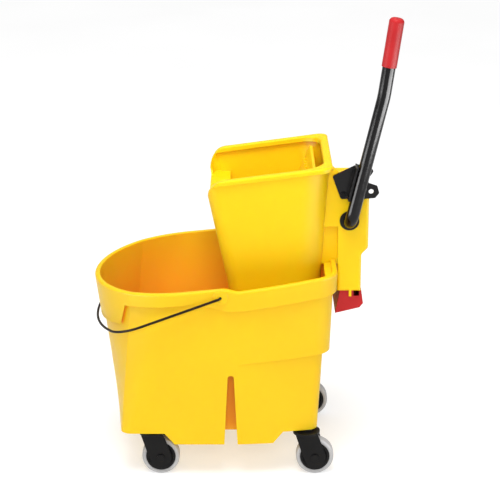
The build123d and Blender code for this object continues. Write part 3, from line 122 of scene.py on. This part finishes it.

# Pieces with a finish of their own instead of their slot's: the tub's yellow is darker and takes the full
# share of orange painted shade
OWN_FINISH = {"bucket_shell": "yellow_tub"}

# Noise in the finishes: rates against a finish's patches, detail, and the part of the noise in use
SCUFF_RATE = 9.0
SCUFF_DETAIL = 4.0
SCUFF_RANGE = (0.40, 0.68)
PATCH_DETAIL = 4.0
PATCH_RANGE = (0.35, 0.65)
GLOSS_RATE = 6.0
GLOSS_DETAIL = 5.0
GLOSS_RANGE = (0.3, 0.7)
GRAIN_DETAIL = 2.0
WAVE_RATE = 1.5
WAVE_DETAIL = 1.0
EVEN = (1.0, 1.0, 1.0)

# Edges and hollows: the readings where each begins and where it is full, reach in metres; the hollow
# reading sets where painted shade is laid
EDGE_SAMPLES = 4
EDGE_RANGE = (0.99, 0.80)
PAINTED_SHADE_SAMPLES = 8
PAINTED_SHADE_RANGE = (0.62, 0.18)
PAINTED_SHADE_REACH = 0.5

# How far red, green and blue light goes through a wall, in metres
LIGHT_THROUGH_REACH = (0.012, 0.004, 0.0003)

# Return spring, in metres: it turns round the handle's shaft
SPRING_RADIUS = 0.0165
SPRING_WIRE = 0.003
SPRING_TURNS = 3
SPRING_PITCH = 0.004
SPRING_BEND = 0.0045
SPRING_WALL_Y = -0.081
SPRING_ARM_Y = -0.054
COIL_STEPS = 64
BEND_STEPS = 8
WIRE_SIDES = 16

# Floor, in metres from its middle to each side
FLOOR_REACH = 60.0

# Light of the room, from the horizon to straight up
WHITE = (1.0, 1.0, 1.0, 1.0)
HORIZON = 0.12
ZENITH = 1.15

# Lights in metres and watts: two panels for the streaks on the handle's tube, a high box and a front fill
LIGHTS = {
    "left_panel": dict(
        place=(-1.05, -0.58, 0.49), aim=(0.27, -0.10, 0.49), width=0.9, height=0.4, power=16.0, wash=False,
    ),
    "right_panel": dict(
        place=(1.02, -0.60, 0.43), aim=(0.27, -0.10, 0.75), width=1.1, height=0.28, power=25.0, wash=False,
    ),
    "high_box": dict(
        place=(-0.2, -1.2, 3.4), aim=(0.0, 0.0, 0.45), width=1.5, height=1.5, power=75.0,
    ),
    "front_fill": dict(
        place=(0.1, -3.4, 1.9), aim=(0.0, 0.0, 0.45), width=1.0, height=1.0, power=45.0, glint=False,
    ),
}


def link(tree, source, target):
    tree.links.new(source, target)


def noise(tree, scale, detail, stretch=EVEN):
    """Noise in the piece's own space, so it moves with the piece; scale is per metre."""
    place = tree.nodes.new("ShaderNodeTexCoord")
    spread = tree.nodes.new("ShaderNodeMapping")
    spread.inputs["Scale"].default_value = stretch
    texture = tree.nodes.new("ShaderNodeTexNoise")
    texture.inputs["Scale"].default_value = scale
    texture.inputs["Detail"].default_value = detail
    link(tree, place.outputs["Object"], spread.inputs["Vector"])
    link(tree, spread.outputs["Vector"], texture.inputs["Vector"])
    return texture.outputs["Fac"]


def remap(tree, value, source, target):
    """A value moved from one range to another, and held inside it."""
    node = tree.nodes.new("ShaderNodeMapRange")
    node.inputs["From Min"].default_value = source[0]
    node.inputs["From Max"].default_value = source[1]
    node.inputs["To Min"].default_value = target[0]
    node.inputs["To Max"].default_value = target[1]
    link(tree, value, node.inputs["Value"])
    return node.outputs["Result"]


def combine(tree, operation, first, second):
    node = tree.nodes.new("ShaderNodeMath")
    node.operation = operation
    link(tree, first, node.inputs[0])
    link(tree, second, node.inputs[1])
    return node.outputs["Value"]


def two_colours(tree, value, low, high):
    """One colour where a noise is low, another where it is high."""
    node = tree.nodes.new("ShaderNodeValToRGB")
    for index, colour in enumerate((low, high)):
        stop = node.color_ramp.elements[index]
        stop.position = PATCH_RANGE[index]
        stop.color = (*colour, 1.0)
    link(tree, value, node.inputs["Fac"])
    return node.outputs["Color"]


def over(tree, mask, below, colour):
    """One colour laid over another where a mask is high."""
    node = tree.nodes.new("ShaderNodeMix")
    node.data_type = "RGBA"
    link(tree, mask, node.inputs["Factor"])
    link(tree, below, node.inputs["A"])
    node.inputs["B"].default_value = (*colour, 1.0)
    return node.outputs["Result"]


def bump(tree, value, depth, before):
    """Bump whose height runs over depth metres."""
    node = tree.nodes.new("ShaderNodeBump")
    node.inputs["Distance"].default_value = depth
    link(tree, value, node.inputs["Height"])
    link(tree, before, node.inputs["Normal"])
    return node.outputs["Normal"]


def soft_edges(tree, radius):
    """Normals that turn softly over sharp edges, within a radius."""
    node = tree.nodes.new("ShaderNodeBevel")
    node.samples = EDGE_SAMPLES
    node.inputs["Radius"].default_value = radius
    return node.outputs["Normal"]


def edge_mask(tree, normal):
    """High where the softened normal leaves the flat one, which is along edges."""
    geometry = tree.nodes.new("ShaderNodeNewGeometry")
    agree = tree.nodes.new("ShaderNodeVectorMath")
    agree.operation = "DOT_PRODUCT"
    link(tree, normal, agree.inputs[0])
    link(tree, geometry.outputs["Normal"], agree.inputs[1])
    return remap(tree, agree.outputs["Value"], EDGE_RANGE, (0.0, 1.0))


def painted_shade_mask(tree, share):
    """Painted shade up to a share, deep inside a piece's own hollows, standing in for light that has
    bounced off more of its colour.
    """
    node = tree.nodes.new("ShaderNodeAmbientOcclusion")
    node.only_local = True
    node.samples = PAINTED_SHADE_SAMPLES
    node.inputs["Distance"].default_value = PAINTED_SHADE_REACH
    return remap(tree, node.outputs["AO"], PAINTED_SHADE_RANGE, (0.0, share))


def surface(
    name, colour, deep, worn, rough, rough_spread, grain, grain_depth, patch,
    edge=0.001, wear=0.35, painted_hollow_shade=None, painted_shade_share=0.0, wave_depth=0.0,
    metal=0.0, specular=0.5, light_through=0.0, glow=0.0, stretch=EVEN,
):
    """A finish with patchy colour, uneven gloss, a fine grain, broad waves, paler worn edges and, where
    given, orange painted shade in its hollows.
    """
    material = bpy.data.materials.new(name)
    material.use_nodes = True
    tree = material.node_tree
    tree.nodes.clear()
    output = tree.nodes.new("ShaderNodeOutputMaterial")
    shader = tree.nodes.new("ShaderNodeBsdfPrincipled")
    link(tree, shader.outputs["BSDF"], output.inputs["Surface"])
    shader.inputs["Metallic"].default_value = metal
    shader.inputs["Specular IOR Level"].default_value = specular
    if light_through:
        shader.inputs["Subsurface Weight"].default_value = light_through
        shader.inputs["Subsurface Radius"].default_value = LIGHT_THROUGH_REACH
        shader.inputs["Subsurface Scale"].default_value = 1.0
    if glow:
        shader.inputs["Emission Color"].default_value = WHITE
        shader.inputs["Emission Strength"].default_value = glow

    soft = soft_edges(tree, edge)
    scuffs = noise(tree, patch * SCUFF_RATE, SCUFF_DETAIL)
    scuffed = remap(tree, scuffs, SCUFF_RANGE, (0.0, wear))
    worn_edges = combine(tree, "MULTIPLY", edge_mask(tree, soft), scuffed)
    base = two_colours(tree, noise(tree, patch, PATCH_DETAIL), deep, colour)
    # Orange painted shade laid deep in the piece's own hollows
    if painted_hollow_shade:
        base = over(tree, painted_shade_mask(tree, painted_shade_share), base, painted_hollow_shade)
    link(tree, over(tree, worn_edges, base, worn), shader.inputs["Base Color"])

    uneven = noise(tree, patch * GLOSS_RATE, GLOSS_DETAIL, stretch)
    roughness = remap(tree, uneven, GLOSS_RANGE, (rough - rough_spread, rough + rough_spread))
    link(tree, roughness, shader.inputs["Roughness"])

    normal = bump(tree, noise(tree, grain, GRAIN_DETAIL, stretch), grain_depth, soft)
    if wave_depth:
        waves = noise(tree, patch * WAVE_RATE, WAVE_DETAIL)
        normal = bump(tree, waves, wave_depth, normal)
    link(tree, normal, shader.inputs["Normal"])
    return material


def spring_line(shaft_x, shaft_z):
    """Points along the wire: a leg from the wall, a bend, the coil, a bend and a leg to the crank arm."""
    length = SPRING_ARM_Y - SPRING_WALL_Y
    coil_y = SPRING_WALL_Y + (length - SPRING_TURNS * SPRING_PITCH) / 2
    top = shaft_z + SPRING_RADIUS
    points = [Vector((shaft_x - SPRING_BEND, SPRING_WALL_Y, top))]
    for step in range(BEND_STEPS):
        angle = math.pi / 2 * step / BEND_STEPS
        along = SPRING_BEND * (1 - math.cos(angle))
        rise = SPRING_BEND * (1 - math.sin(angle))
        points.append(Vector((shaft_x - SPRING_BEND + along, coil_y - rise, top)))
    for step in range(SPRING_TURNS * COIL_STEPS + 1):
        turns = step / COIL_STEPS
        angle = math.tau * turns
        x = shaft_x + SPRING_RADIUS * math.sin(angle)
        z = shaft_z + SPRING_RADIUS * math.cos(angle)
        points.append(Vector((x, coil_y + SPRING_PITCH * turns, z)))
    end_y = coil_y + SPRING_TURNS * SPRING_PITCH
    for step in range(BEND_STEPS):
        angle = math.pi / 2 * (step + 1) / BEND_STEPS
        along = SPRING_BEND * math.sin(angle)
        rise = SPRING_BEND * (1 - math.cos(angle))
        points.append(Vector((shaft_x + along, end_y + rise, top)))
    points.append(Vector((shaft_x + SPRING_BEND, SPRING_ARM_Y, top)))
    return points


def wire_mesh(name, points, radius):
    """A round wire along points, smooth round its sides and closed at both ends."""
    mesh = bmesh.new()
    rings = []
    side = Vector((0.0, 0.0, 1.0))
    last = len(points) - 1
    for index, point in enumerate(points):
        way = (points[min(index + 1, last)] - points[max(index - 1, 0)]).normalized()
        side = (side - way * side.dot(way)).normalized()
        other = way.cross(side)
        ring = []
        for corner in range(WIRE_SIDES):
            angle = math.tau * corner / WIRE_SIDES
            outward = side * math.cos(angle) + other * math.sin(angle)
            ring.append(mesh.verts.new(point + outward * radius))
        rings.append(ring)
    for first, second in zip(rings, rings[1:]):
        for corner in range(WIRE_SIDES):
            after = (corner + 1) % WIRE_SIDES
            wall = mesh.faces.new((first[corner], first[after], second[after], second[corner]))
            wall.smooth = True
    mesh.faces.new(reversed(rings[0]))
    mesh.faces.new(rings[-1])
    data = bpy.data.meshes.new(name)
    mesh.to_mesh(data)
    mesh.free()
    piece = bpy.data.objects.new(name, data)
    bpy.context.scene.collection.objects.link(piece)
    return piece


def soft_light(name, place, aim, width, height, power, wash=True, glint=True):
    """A light out of the camera's sight; wash lets it light surfaces, glint lets it show in their gloss."""
    lamp = bpy.data.lights.new(name, "AREA")
    lamp.shape = "RECTANGLE"
    lamp.size = width
    lamp.size_y = height
    lamp.energy = power
    light = bpy.data.objects.new(name, lamp)
    light.location = place
    light.visible_camera = False
    light.visible_diffuse = wash
    light.visible_glossy = glint
    light.rotation_euler = (Vector(aim) - Vector(place)).to_track_quat("-Z", "Y").to_euler()
    bpy.context.scene.collection.objects.link(light)


# Finishes on the pieces
materials = {name: surface(name, **finish) for name, finish in FINISHES.items()}
slot_of = {subpart["node"]: subpart["material_slot"] for subpart in frame["record"]["subparts"]}
for name, node in frame["nodes"].items():
    finish_name = OWN_FINISH.get(name, slot_of[name])
    node.data.materials.clear()
    node.data.materials.append(materials[finish_name])

# Return spring
bush_low, bush_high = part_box("shaft_bush_near")
shaft_x = (bush_low[0] + bush_high[0]) / 2
shaft_z = (bush_low[2] + bush_high[2]) / 2
spring = wire_mesh("coil_spring", spring_line(shaft_x, shaft_z), SPRING_WIRE / 2)
spring.data.materials.append(materials["spring_steel"])
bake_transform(spring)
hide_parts("return_spring")

# Floor
floor_mesh = bpy.data.meshes.new("floor")
grid = bmesh.new()
bmesh.ops.create_grid(grid, x_segments=1, y_segments=1, size=FLOOR_REACH)
grid.to_mesh(floor_mesh)
grid.free()
floor = bpy.data.objects.new("floor", floor_mesh)
bpy.context.scene.collection.objects.link(floor)
floor_mesh.materials.append(materials["floor_paint"])

# Room, brighter towards straight up
world = bpy.data.worlds.new("studio")
world.use_nodes = True
sky = world.node_tree
way = sky.nodes.new("ShaderNodeTexCoord")
parts = sky.nodes.new("ShaderNodeSeparateXYZ")
link(sky, way.outputs["Generated"], parts.inputs["Vector"])
background = sky.nodes["Background"]
background.inputs["Color"].default_value = WHITE
brightness = remap(sky, parts.outputs["Z"], (0.0, 1.0), (HORIZON, ZENITH))
link(sky, brightness, background.inputs["Strength"])
bpy.context.scene.world = world

# Lights
for name, light in LIGHTS.items():
    soft_light(name, **light)

# Camera
lens = bpy.data.cameras.new("camera")
lens.lens = CAMERA_LENS
lens.sensor_width = SENSOR
camera = bpy.data.objects.new("camera", lens)
camera.location = CAMERA_PLACE
camera.rotation_euler = (math.radians(90.0 - CAMERA_PITCH), 0.0, 0.0)
bpy.context.scene.collection.objects.link(camera)
bpy.context.scene.camera = camera
bpy.context.scene.view_settings.view_transform = "Standard"
